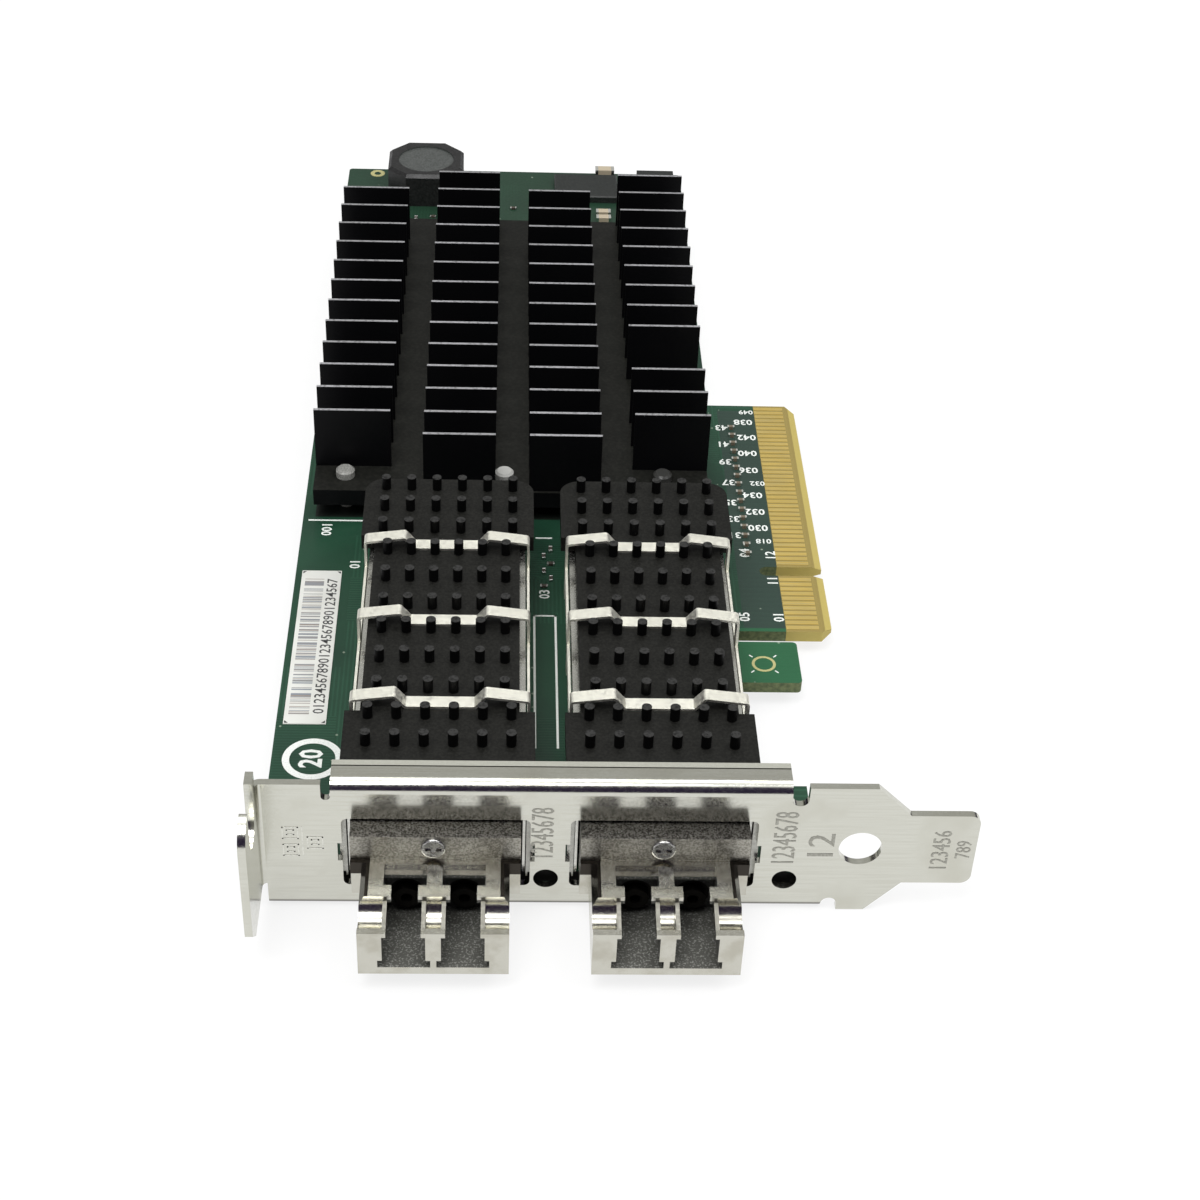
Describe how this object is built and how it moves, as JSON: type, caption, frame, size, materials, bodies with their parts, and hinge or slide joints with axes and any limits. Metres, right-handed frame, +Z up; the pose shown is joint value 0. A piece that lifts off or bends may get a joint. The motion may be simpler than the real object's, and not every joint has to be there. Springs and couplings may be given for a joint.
{
  "type": "network interface card",
  "caption": "Low-profile expansion card with two fixed optical modules under pin-type coolers, a large finned heat sink and a folded metal bracket.",
  "frame": {"origin": "under the middle of the card's bounding box, at the height of the bracket's lowest edge", "axes": "+X from the bracket's screw tab towards its tongue and the gold contacts, +Y from the bracket into the card, +Z up from the component side"},
  "size_m": [0.0792, 0.1808, 0.0207],
  "materials": {
    "board": "green solder mask over glass-filled laminate",
    "contact_gold": "gold plate",
    "bracket_metal": "bright nickel plate",
    "screw_metal": "zinc plate",
    "module_metal": "nickel-plated casting",
    "cover_metal": "nickel-plated casting",
    "module_board": "green laminate",
    "optic_metal": "turned",
    "cage_metal": "nickel-plated sheet",
    "gasket_metal": "spring sheet",
    "connector_plastic": "moulded",
    "pin_sink_black": "black anodised casting",
    "clip_metal": "bright spring steel",
    "main_sink_black": "black anodised with bright cut edges",
    "push_pin_metal": "moulded",
    "chip_black": "moulded",
    "heat_pad": "soft",
    "inductor_black": "pressed iron powder",
    "capacitor": "fired, tinned ends",
    "lamp": "clear lens",
    "label": "matt"
  },
  "bodies": {
    "root": {"circuit_board": "board", "edge_contacts_upper": "contact_gold", "edge_contacts_lower": "contact_gold", "bracket": "bracket_metal", "bracket_screws": "screw_metal", "module_body_a": "module_metal", "module_cover_a": "cover_metal", "module_screw_a": "screw_metal", "module_circuit_a": "module_board", "laser_a": "optic_metal", "light_detector_a": "optic_metal", "cage_a": "cage_metal", "cage_gasket_a": "gasket_metal", "host_connector_a": "connector_plastic", "pin_heat_sink_a": "pin_sink_black", "heat_sink_clip_a": "clip_metal", "module_body_b": "module_metal", "module_cover_b": "cover_metal", "module_screw_b": "screw_metal", "module_circuit_b": "module_board", "laser_b": "optic_metal", "light_detector_b": "optic_metal", "cage_b": "cage_metal", "cage_gasket_b": "gasket_metal", "host_connector_b": "connector_plastic", "pin_heat_sink_b": "pin_sink_black", "heat_sink_clip_b": "clip_metal", "main_heat_sink": "main_sink_black", "push_pins": "push_pin_metal", "controller_chip": "chip_black", "controller_heat_pad": "heat_pad", "converter_chip_a": "chip_black", "converter_heat_pad_a": "heat_pad", "converter_chip_b": "chip_black", "converter_heat_pad_b": "heat_pad", "power_inductor": "inductor_black", "large_chip": "chip_black", "regulator_chip": "chip_black", "end_capacitors": "capacitor", "coupling_capacitors": "capacitor", "signal_lamps": "lamp", "barcode_label": "label"}
  },
  "joints": []
}
